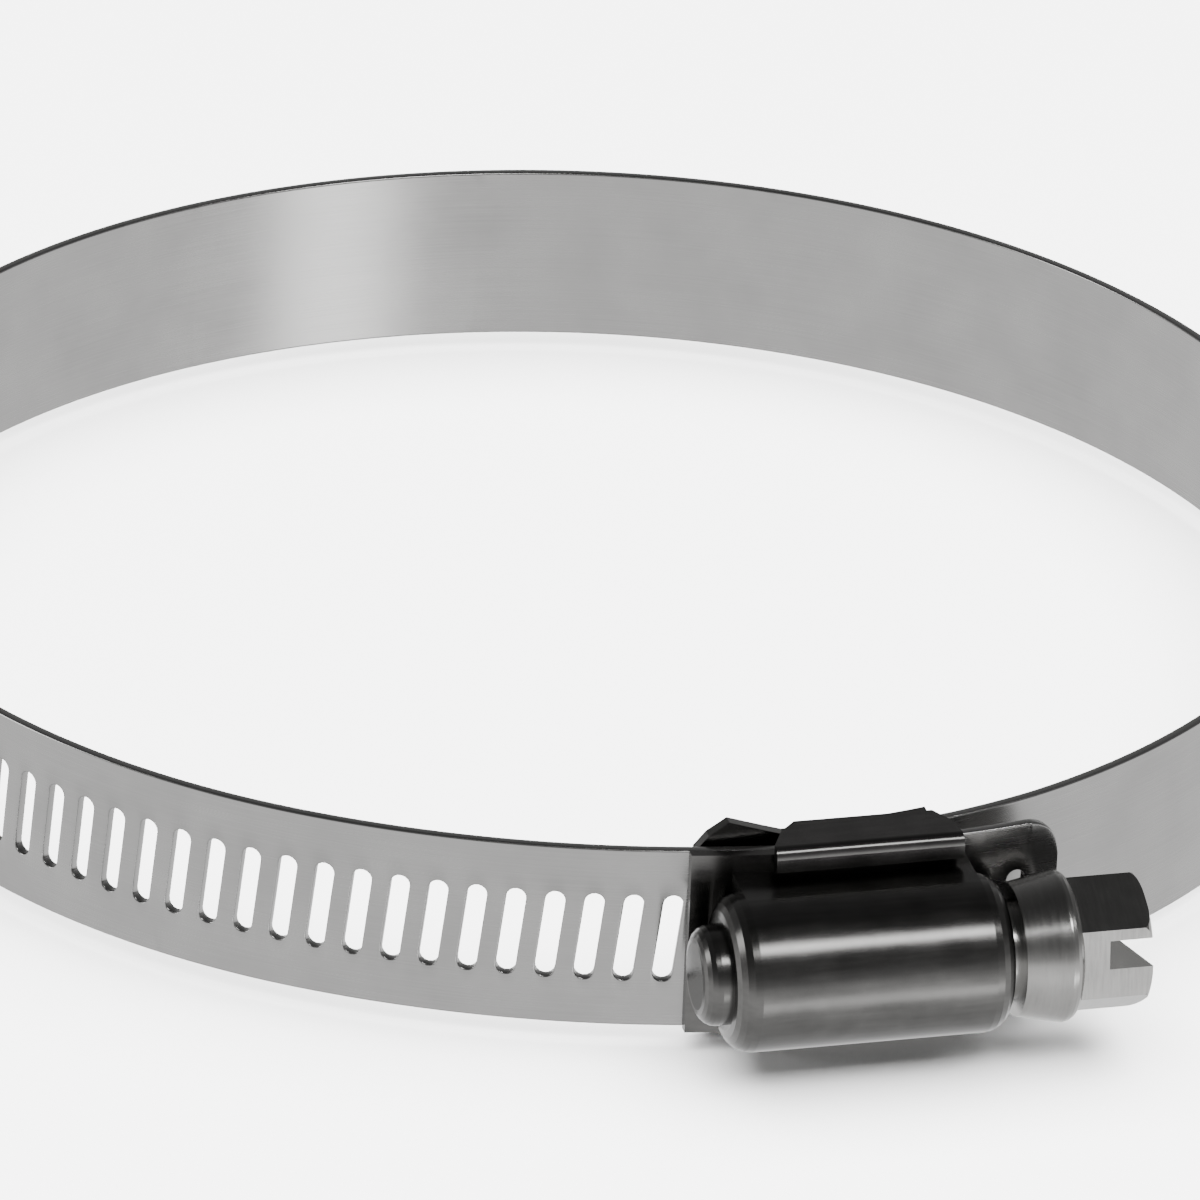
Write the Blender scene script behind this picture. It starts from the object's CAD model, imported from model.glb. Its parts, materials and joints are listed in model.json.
"""Looks of a worm-drive hose clamp: satin band, pressed housing and saddle, turned screw."""
import json
import math
import bmesh
import bpy
from mathutils import Matrix, Vector

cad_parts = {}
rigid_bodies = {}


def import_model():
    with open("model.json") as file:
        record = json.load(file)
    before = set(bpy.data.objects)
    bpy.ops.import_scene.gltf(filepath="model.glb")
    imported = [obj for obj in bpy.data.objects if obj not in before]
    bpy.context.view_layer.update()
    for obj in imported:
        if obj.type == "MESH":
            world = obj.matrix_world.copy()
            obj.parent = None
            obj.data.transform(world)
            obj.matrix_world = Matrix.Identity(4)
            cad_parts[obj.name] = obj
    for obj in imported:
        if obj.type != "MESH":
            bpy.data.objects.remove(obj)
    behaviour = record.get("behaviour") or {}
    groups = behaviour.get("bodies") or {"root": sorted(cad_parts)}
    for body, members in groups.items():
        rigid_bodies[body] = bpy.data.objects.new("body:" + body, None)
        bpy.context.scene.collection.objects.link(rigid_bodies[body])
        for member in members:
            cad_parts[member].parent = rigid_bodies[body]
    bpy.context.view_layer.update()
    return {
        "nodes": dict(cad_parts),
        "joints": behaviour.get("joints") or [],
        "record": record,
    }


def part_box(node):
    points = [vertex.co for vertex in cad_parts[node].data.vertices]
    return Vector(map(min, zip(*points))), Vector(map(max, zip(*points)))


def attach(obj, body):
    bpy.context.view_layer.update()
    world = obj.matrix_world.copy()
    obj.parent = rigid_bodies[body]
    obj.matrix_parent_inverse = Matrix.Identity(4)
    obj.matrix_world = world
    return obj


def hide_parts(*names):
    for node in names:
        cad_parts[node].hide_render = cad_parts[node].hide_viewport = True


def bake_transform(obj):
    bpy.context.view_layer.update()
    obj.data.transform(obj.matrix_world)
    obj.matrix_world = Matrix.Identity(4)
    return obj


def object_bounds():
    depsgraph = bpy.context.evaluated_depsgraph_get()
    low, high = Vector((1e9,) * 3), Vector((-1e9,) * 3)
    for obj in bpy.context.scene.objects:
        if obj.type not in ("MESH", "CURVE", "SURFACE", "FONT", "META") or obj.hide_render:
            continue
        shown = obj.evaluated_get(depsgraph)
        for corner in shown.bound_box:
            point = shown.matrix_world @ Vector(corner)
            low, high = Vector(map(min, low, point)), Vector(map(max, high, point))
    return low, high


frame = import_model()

MM = 0.001
JOINTS = {j["name"]: j for j in frame["joints"]}

# ---------------------------------------------------------------- the band's route, from the frame

RING_IN = frame["record"]["mounts"][0]["dims"]["r_mm"] * MM
FREE_C = Vector(JOINTS["band_feed"]["pos_m"])
HINGE = Vector(JOINTS["band_flex_01"]["pos_m"])
RISE_HINGE = Vector(JOINTS["band_flex_11"]["pos_m"])
RING_MID = HINGE.length
HALF_T = RING_MID - RING_IN
HALF_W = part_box("band_link_05")[1].z
PITCH = 2.5 * MM
SLOTS_TO_TIP = 19
SLOTS_ON_RING = 16
FREE_MID = (HINGE - FREE_C).length
FREE_A = math.atan2(HINGE.y - FREE_C.y, HINGE.x - FREE_C.x)
RING_A = math.atan2(HINGE.y, HINGE.x)
TIP_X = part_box("band_free_end")[1].x
TIP_S = -FREE_MID * (math.asin((TIP_X - FREE_C.x) / FREE_MID) - math.pi / 2 - FREE_A)
RISE_E = (RISE_HINGE.length ** 2 - RING_MID ** 2) / (2 * (RING_MID - RISE_HINGE.x))
RISE_MID = RING_MID + RISE_E
FLOOR_A = math.radians(68)
SADDLE_T = 0.8 * MM
FIXED_MID = RING_IN + SADDLE_T + HALF_T
FIXED_SPAN = math.radians(20)
RISE_SPAN = math.atan2(FIXED_MID * math.sin(FLOOR_A), FIXED_MID * math.cos(FLOOR_A) + RISE_E)
RING_END = RING_MID * (RING_A + 2 * math.pi)
RISE_END = RING_END + RISE_MID * RISE_SPAN
BAND_END = RISE_END + FIXED_MID * FIXED_SPAN


def route(s):
    """Centre, radius and angle of the band at length s clockwise from the free end's hinge."""
    if s < 0:
        return FREE_C, FREE_MID, FREE_A - s / FREE_MID
    if s <= RING_END:
        return Vector(), RING_MID, RING_A - s / RING_MID
    if s <= RISE_END:
        return Vector((-RISE_E, 0, 0)), RISE_MID, (RING_END - s) / RISE_MID
    return Vector(), FIXED_MID, -FLOOR_A - (s - RISE_END) / FIXED_MID


def on_band(s, n, z):
    """The point at length s, n outside the strip's middle, at height z."""
    centre, radius, a = route(s)
    return centre + Vector(((radius + n) * math.cos(a), (radius + n) * math.sin(a), z))


# ---------------------------------------------------------------- mesh helpers


class Shell:
    """Collects welded points, faces and their UVs, then makes a smooth object."""

    def __init__(self, place):
        self.place = place
        self.ids, self.points, self.uvs, self.faces, self.caps = {}, [], [], [], []

    def vert(self, a, b, c):
        key = (round(a, 8), round(b, 8), round(c, 8))
        if key not in self.ids:
            self.ids[key] = len(self.points)
            self.points.append(self.place(a, b, c))
            self.uvs.append((a, c))
        return self.ids[key]

    def loop(self, coords):
        return [self.vert(*c) for c in coords]

    def bridge(self, one, two, closed=True):
        count = len(one)
        for i in range(count if closed else count - 1):
            j = (i + 1) % count
            face = list(dict.fromkeys((one[i], one[j], two[j], two[i])))
            if len(face) > 2:
                self.faces.append(face)

    def cap(self, ring):
        """Close an end of the strip with one face, whose border stays sharp."""
        self.caps.append(len(self.faces))
        self.faces.append(ring)

    def make(self, name, material):
        mesh = bpy.data.meshes.new(name)
        mesh.from_pydata(self.points, [], self.faces)
        layer = mesh.uv_layers.new(name="UVMap")
        for corner in mesh.loops:
            layer.data[corner.index].uv = self.uvs[corner.vertex_index]
        edge_of = {edge.key: edge for edge in mesh.edges}
        for index in self.caps:
            for key in mesh.polygons[index].edge_keys:
                edge_of[key].use_edge_sharp = True
        work = bmesh.new()
        work.from_mesh(mesh)
        bmesh.ops.recalc_face_normals(work, faces=work.faces)
        work.to_mesh(mesh)
        work.free()
        mesh.polygons.foreach_set("use_smooth", [True] * len(mesh.polygons))
        obj = bpy.data.objects.new(name, mesh)
        bpy.context.scene.collection.objects.link(obj)
        smooth = obj.modifiers.new("smooth", "WEIGHTED_NORMAL")
        smooth.keep_sharp = True
        mesh.materials.append(material)
        return obj


# ---------------------------------------------------------------- materials


def nodes_of(name, color, roughness, metallic=1.0):
    material = bpy.data.materials.new(name)
    material.use_nodes = True
    tree = material.node_tree
    shader = tree.nodes["Principled BSDF"]
    shader.inputs["Base Color"].default_value = (*color, 1)
    shader.inputs["Roughness"].default_value = roughness
    shader.inputs["Metallic"].default_value = metallic
    return material, tree, shader


def add_noise(tree, coords, scale, detail, stretch):
    mapping = tree.nodes.new("ShaderNodeMapping")
    mapping.inputs["Scale"].default_value = stretch
    noise = tree.nodes.new("ShaderNodeTexNoise")
    noise.inputs["Scale"].default_value = scale
    noise.inputs["Detail"].default_value = detail
    tree.links.new(coords, mapping.inputs["Vector"])
    tree.links.new(mapping.outputs["Vector"], noise.inputs["Vector"])
    return noise.outputs["Fac"]


def ramp(tree, value, stops):
    """Colour ramp through stops, a list of (position, colour)."""
    node = tree.nodes.new("ShaderNodeValToRGB")
    while len(node.color_ramp.elements) < len(stops):
        node.color_ramp.elements.new(0.5)
    for element, (position, color) in zip(node.color_ramp.elements, stops):
        element.position = position
        element.color = (*color, 1)
    tree.links.new(value, node.inputs["Fac"])
    return node.outputs["Color"]


def span(tree, value, low, high):
    node = tree.nodes.new("ShaderNodeMapRange")
    node.inputs["From Min"].default_value = 0.25
    node.inputs["From Max"].default_value = 0.75
    node.inputs["To Min"].default_value = low
    node.inputs["To Max"].default_value = high
    tree.links.new(value, node.inputs["Value"])
    return node.outputs["Result"]


def mixed(tree, one, two, share, mode="MIX"):
    node = tree.nodes.new("ShaderNodeMix")
    node.data_type = "RGBA"
    node.blend_type = mode
    node.inputs["Factor"].default_value = share
    tree.links.new(one, node.inputs["A"])
    tree.links.new(two, node.inputs["B"])
    return node.outputs["Result"]


def bump(tree, shader, height, strength, distance):
    node = tree.nodes.new("ShaderNodeBump")
    node.inputs["Strength"].default_value = strength
    node.inputs["Distance"].default_value = distance
    tree.links.new(height, node.inputs["Height"])
    tree.links.new(node.outputs["Normal"], shader.inputs["Normal"])


def metal(name, dark, light, rough, grain, kind="Object", cloud=60.0, relief=0.0000012):
    """Metal with a long grain and cloudy colour and roughness; grain stretches its coordinates."""
    material, tree, shader = nodes_of(name, light, rough[0])
    coords = tree.nodes.new("ShaderNodeTexCoord").outputs[kind]
    lines = add_noise(tree, coords, 1.0, 4.0, grain)
    clouds = add_noise(tree, coords, cloud, 3.0, (1, 1, 1))
    stops = [(0.3, dark), (0.7, light)]
    tone = ramp(tree, clouds, stops)
    streak = ramp(tree, lines, stops)
    tree.links.new(mixed(tree, tone, streak, 0.35), shader.inputs["Base Color"])
    both = tree.nodes.new("ShaderNodeMath")
    both.operation = "MULTIPLY_ADD"
    both.inputs[1].default_value = 0.6
    tree.links.new(lines, both.inputs[0])
    share = tree.nodes.new("ShaderNodeMath")
    share.operation = "MULTIPLY"
    share.inputs[1].default_value = 0.4
    tree.links.new(clouds, share.inputs[0])
    tree.links.new(share.outputs[0], both.inputs[2])
    tree.links.new(span(tree, both.outputs[0], *rough), shader.inputs["Roughness"])
    bump(tree, shader, lines, 1.0, relief)
    return material


BAND_STEEL = metal("band_steel", (0.27, 0.268, 0.265), (0.34, 0.337, 0.332), (0.22, 0.3),
                   (90, 9000, 9000), "UV", 160.0, 0.0000016)
CASE_STEEL = metal("housing_steel", (0.085, 0.084, 0.082), (0.125, 0.123, 0.12), (0.17, 0.27),
                   (250, 2600, 2600), "Object", 420.0)
SCREW_STEEL = metal("screw_steel", (0.27, 0.267, 0.26), (0.35, 0.346, 0.337), (0.16, 0.27),
                    (5200, 500, 500), "Object", 400.0)

# ---------------------------------------------------------------- band

# Slot: half length of its straight sides, radius of its ends, lean, and the roundings at its rim
# and along the strip's edges
SLOT_HALF = (6.2 - 1.28) / 2 * MM
SLOT_R = 0.64 * MM
LEAN = math.radians(6.3)
RIM = 0.09 * MM
EDGE = 0.16 * MM
FIRST_SLOT, LAST_SLOT = -SLOTS_TO_TIP * PITCH, SLOTS_ON_RING * PITCH
# Faces across the strip's width, and along one pitch
ACROSS = 12
ALONG = 8
QUARTER = 4
FACE_Z = [(-1 + 2 * i / ACROSS) * (HALF_W - EDGE) for i in range(ACROSS + 1)]
TIP_R = 2.2 * MM


def edge_round(sign):
    """Points of the strip's rolled edge, outer face to inner one, as (n, z past the face)."""
    points = []
    for quarter in (0, 1):
        for i in range(QUARTER + 1):
            a = math.radians(90 * i / QUARTER)
            n = HALF_T - EDGE
            up, out = (math.cos(a), math.sin(a)) if quarter == 0 else (-math.sin(a), math.cos(a))
            points.append(((n if quarter == 0 else -n) + EDGE * up, sign * EDGE * out))
    return points


def section(s):
    """The strip's closed outline at length s, narrower where the free end's tip is rounded."""
    past = max(0.0, TIP_R - (s - TIP_S))
    narrow = TIP_R - math.sqrt(max(0.0, TIP_R ** 2 - past ** 2))
    share = (HALF_W - EDGE - narrow) / (HALF_W - EDGE)
    top = share * FACE_Z[-1]
    outer = [(s, HALF_T, share * z) for z in FACE_Z]
    upper = [(s, n, top + z) for n, z in edge_round(1)[1:-1]]
    inner = [(s, -HALF_T, share * z) for z in reversed(FACE_Z)]
    lower = [(s, n, -top + z) for n, z in reversed(edge_round(-1)[1:-1])]
    return outer + upper + inner + lower


def slot_loop(middle, grow, n):
    """The outline of a leaning slot with round ends, grown by grow, at depth n."""
    def lean(x, z):
        cos, sin = math.cos(LEAN), math.sin(LEAN)
        return middle + x * cos - z * sin, n, z * cos + x * sin
    r = SLOT_R + grow
    low = [lean(-r * math.cos(math.pi * i / ALONG), -SLOT_HALF - r * math.sin(math.pi * i / ALONG))
           for i in range(ALONG + 1)]
    high = [lean(r * math.cos(math.pi * i / ALONG), SLOT_HALF + r * math.sin(math.pi * i / ALONG))
            for i in range(ALONG + 1)]
    rise = [lean(r, -SLOT_HALF + 2 * SLOT_HALF * i / ACROSS) for i in range(1, ACROSS)]
    fall = [lean(-r, SLOT_HALF - 2 * SLOT_HALF * i / ACROSS) for i in range(1, ACROSS)]
    return low + rise + high + fall


def cell_loop(start, n):
    """The border of one pitch of the strip's face, with as many points as slot_loop."""
    xs = [start + PITCH * i / ALONG for i in range(ALONG + 1)]
    low = [(x, n, FACE_Z[0]) for x in xs]
    rise = [(xs[-1], n, z) for z in FACE_Z[1:-1]]
    high = [(x, n, FACE_Z[-1]) for x in reversed(xs)]
    fall = [(xs[0], n, z) for z in reversed(FACE_Z[1:-1])]
    return low + rise + high + fall


def between(one, two, share):
    return [tuple(a + share * (b - a) for a, b in zip(p, q)) for p, q in zip(one, two)]


def slotted_cell(shell, start):
    """One pitch of the strip: both faces round the slot, its wall, and the two rolled edges."""
    middle = start + PITCH / 2
    faces = []
    for side in (1, -1):
        border = cell_loop(start, side * HALF_T)
        rim = slot_loop(middle, RIM, side * HALF_T)
        half_way = between(border, rim, 0.55)
        curl = slot_loop(middle, 0.3 * RIM, side * (HALF_T - 0.3 * RIM))
        wall = slot_loop(middle, 0, side * (HALF_T - RIM))
        loops = [border, half_way, rim, curl, wall]
        faces += loops if side == 1 else loops[::-1]
    rings = [shell.loop(f) for f in faces]
    for one, two in zip(rings, rings[1:]):
        shell.bridge(one, two)
    upper = slice(ACROSS, ACROSS + 2 * QUARTER + 2)
    lower = 2 * ACROSS + 2 * QUARTER + 1
    for i in range(ALONG):
        here, there = (shell.loop(section(start + PITCH * j / ALONG)) for j in (i, i + 1))
        shell.bridge(here[upper], there[upper], closed=False)
        shell.bridge(here[lower:] + here[:1], there[lower:] + there[:1], closed=False)


def stations(start, end):
    """Lengths where the plain strip has a section, closer together round the tip."""
    count = max(2, math.ceil((end - start) / (0.8 * MM)))
    even = [start + (end - start) * i / count for i in range(count + 1)]
    if start > TIP_S + 1e-6:
        return even
    tip = [TIP_S + TIP_R * (1 - math.cos(math.pi / 2 * i / 10)) for i in range(11)]
    return tip + [s for s in even if s > TIP_S + TIP_R + 0.1 * MM]


def band_piece(name, start, end, nodes):
    """The strip from start to end as one piece, slotted pitch by pitch where it has slots."""
    shell = Shell(on_band)
    breaks = (FIRST_SLOT, LAST_SLOT, RING_END, RISE_END)
    marks = [start, *(s for s in breaks if start < s < end), end]
    for a, b in zip(marks, marks[1:]):
        if FIRST_SLOT - 1e-6 < a < LAST_SLOT - 1e-6:
            for i in range(round((b - a) / PITCH)):
                slotted_cell(shell, a + i * PITCH)
        else:
            rings = [shell.loop(section(s)) for s in stations(a, b)]
            for one, two in zip(rings, rings[1:]):
                shell.bridge(one, two)
    shell.cap(shell.loop(section(start)))
    shell.cap(shell.loop(section(end)))
    piece = shell.make(name, BAND_STEEL)
    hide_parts(*nodes)
    return piece


def length_at(point):
    """Length s of a point on the ring, or on the rising arc past its end."""
    a = math.atan2(point.y, point.x)
    if point.x > 0 and point.y < 0 and (point - HINGE).length > RING_MID:
        return RING_END - RISE_MID * math.atan2(point.y, point.x + RISE_E)
    return RING_MID * ((RING_A - a) % (2 * math.pi))


HINGES = [length_at(Vector(JOINTS[f"band_flex_{k:02d}"]["pos_m"])) for k in range(1, 11)]
HINGES[0] = 0.0
MIDDLES = [(a + b) / 2 for a, b in zip(HINGES, HINGES[1:] + [RING_END])]
for k in (0, 1):
    MIDDLES[k] = (4 + 8 * k) * PITCH  # between two slots
RISE_HINGES = [length_at(Vector(JOINTS[f"band_flex_{k}"]["pos_m"])) for k in (11, 12)]
RISE_MIDDLE = sum(RISE_HINGES) / 2


def bend(piece):
    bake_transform(piece)


def link(k):
    return f"band_link_{k:02d}"


def make_band():
    free_end = band_piece("free_end_strip", TIP_S, MIDDLES[0], ["band_free_end"])
    bend(free_end)
    for k in range(1, 10):
        end = RING_END if k == 9 else MIDDLES[k]
        ring = band_piece(f"ring_strip_{k:02d}", MIDDLES[k - 1], end,
                          [link(k)] + ([link(10)] if k == 9 else []))
        bend(ring)
    rise = band_piece("rise_strip", RING_END, RISE_MIDDLE, [link(11), link(12)])
    bend(rise)
    fixed = band_piece("fixed_end_strip", RISE_MIDDLE, BAND_END, ["band_fixed_end"])
    bend(fixed)


LUG_A = math.radians(-84)
LUG_SIZE = Vector((1, 2.4, 4)) * MM
LUG_MID = Vector((RING_IN + 0.55 * MM, 0, 0))
LUG_ROUND = 0.12 * MM


def make_lug():
    """The fixed end's hook, which fills the saddle's window."""
    turn = Matrix.Rotation(LUG_A, 4, "Z")
    work = bmesh.new()
    layer = work.loops.layers.uv.new("UVMap")
    bmesh.ops.create_cube(work, size=1.0)
    for vert in work.verts:
        vert.co = turn @ (LUG_MID + vert.co * LUG_SIZE)
    bmesh.ops.bevel(work, geom=work.edges[:], offset=LUG_ROUND, segments=3,
                    affect="EDGES", profile=0.5)
    for face in work.faces:
        face.smooth = True
        for corner in face.loops:
            corner[layer].uv = (corner.vert.co.x, corner.vert.co.z)
    mesh = bpy.data.meshes.new("fixed_end_lug")
    work.to_mesh(mesh)
    work.free()
    mesh.materials.append(BAND_STEEL)
    lug = bpy.data.objects.new("fixed_end_lug", mesh)
    bpy.context.scene.collection.objects.link(lug)
    lug.modifiers.new("smooth", "WEIGHTED_NORMAL")
    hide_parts("band_fixed_end")
    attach(lug, "root")


make_band()
make_lug()

# ---------------------------------------------------------------- CAD nodes that stay


def keep(node, material):
    obj = frame["nodes"][node]
    obj.data.materials.clear()
    obj.data.materials.append(material)


keep("housing", CASE_STEEL)
keep("saddle", CASE_STEEL)
keep("worm_screw", SCREW_STEEL)

# ---------------------------------------------------------------- camera, floor and light

AZIMUTH = math.radians(-14.5)
ELEVATION = math.radians(26.65)
ROLL = math.radians(2.18)
DISTANCE = 742.7 * MM
AIM = 2.09 * MM


def make_camera():
    flat = math.cos(ELEVATION)
    back = Vector((math.sin(AZIMUTH) * flat, -math.cos(AZIMUTH) * flat, math.sin(ELEVATION)))
    level = Vector((math.cos(AZIMUTH), math.sin(AZIMUTH), 0))
    upright = back.cross(level)
    right = level * math.cos(ROLL) + upright * math.sin(ROLL)
    up = back.cross(right)
    data = bpy.data.cameras.new("camera")
    data.sensor_width = 36
    data.lens = 327.7
    data.clip_start = 0.01
    camera = bpy.data.objects.new("camera", data)
    bpy.context.scene.collection.objects.link(camera)
    turn = Matrix((right, up, back)).transposed().to_4x4()
    camera.matrix_world = Matrix.Translation(back * DISTANCE + (right - up) * AIM) @ turn
    bpy.context.scene.camera = camera


FLOOR_REACH = 3
FLOOR_GAP = 0.02 * MM


def area(name, place, size, power, glossy=True):
    """A rectangular light that looks at the origin."""
    data = bpy.data.lights.new(name, "AREA")
    data.shape = "RECTANGLE"
    data.size, data.size_y = size
    data.energy = power
    light = bpy.data.objects.new(name, data)
    bpy.context.scene.collection.objects.link(light)
    turn = Vector(place).to_track_quat("Z", "Y").to_matrix().to_4x4()
    light.matrix_world = Matrix.Translation(Vector(place)) @ turn
    light.visible_glossy = glossy


def make_floor():
    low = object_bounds()[0][2] - FLOOR_GAP
    corners = [(x * FLOOR_REACH, y * FLOOR_REACH, low)
               for x, y in ((-1, -1), (1, -1), (1, 1), (-1, 1))]
    mesh = bpy.data.meshes.new("floor")
    mesh.from_pydata(corners, [], [(0, 1, 2, 3)])
    floor = bpy.data.objects.new("floor", mesh)
    bpy.context.scene.collection.objects.link(floor)
    material, _, shader = nodes_of("floor_white", (0.9, 0.9, 0.9), 0.9, 0.0)
    shader.inputs["Specular IOR Level"].default_value = 0.0
    mesh.materials.append(material)
    floor.visible_glossy = False
    floor.visible_shadow = False


# Grey of the surroundings from straight down (0) to straight up (1): floor, wall, darker ceiling
SKY = [(0.0, 0.75), (0.3, 1.15), (0.46, 1.0), (0.55, 0.42), (0.7, 0.16), (1.0, 0.05)]


def glow(tree, direction, toward, wide, narrow, strength):
    """A soft round light at infinity: strength within narrow degrees of toward, none past wide."""
    dot = tree.nodes.new("ShaderNodeVectorMath")
    dot.operation = "DOT_PRODUCT"
    dot.inputs[1].default_value = Vector(toward).normalized()
    tree.links.new(direction, dot.inputs[0])
    node = tree.nodes.new("ShaderNodeMapRange")
    node.interpolation_type = "SMOOTHSTEP"
    node.inputs["From Min"].default_value = math.cos(math.radians(wide))
    node.inputs["From Max"].default_value = math.cos(math.radians(narrow))
    node.inputs["To Max"].default_value = strength
    tree.links.new(dot.outputs["Value"], node.inputs["Value"])
    return node.outputs["Result"]


def make_world():
    world = bpy.data.worlds.new("studio")
    world.use_nodes = True
    bpy.context.scene.world = world
    tree = world.node_tree
    direction = tree.nodes.new("ShaderNodeTexCoord").outputs["Generated"]
    split = tree.nodes.new("ShaderNodeSeparateXYZ")
    tree.links.new(direction, split.inputs[0])
    height = tree.nodes.new("ShaderNodeMapRange")
    height.inputs["From Min"].default_value = -1
    tree.links.new(split.outputs["Z"], height.inputs["Value"])
    tone = ramp(tree, height.outputs["Result"], [(place, (grey,) * 3) for place, grey in SKY])
    window = glow(tree, direction, (0.382, -0.823, -0.422), 12, 2, 3.2)
    tree.links.new(mixed(tree, tone, window, 1.0, "ADD"), tree.nodes["Background"].inputs["Color"])
    tree.nodes["Background"].inputs["Strength"].default_value = 1.5


make_camera()
make_floor()
make_world()
area("overhead", (0, -0.1, 0.9), (1.6, 1.6), 110, glossy=False)
area("strip", (0.2, -0.5, 0.7), (0.5, 0.14), 3.2)
area("left_box", (-0.75, 0.1, 0.25), (0.25, 0.4), 1.5)
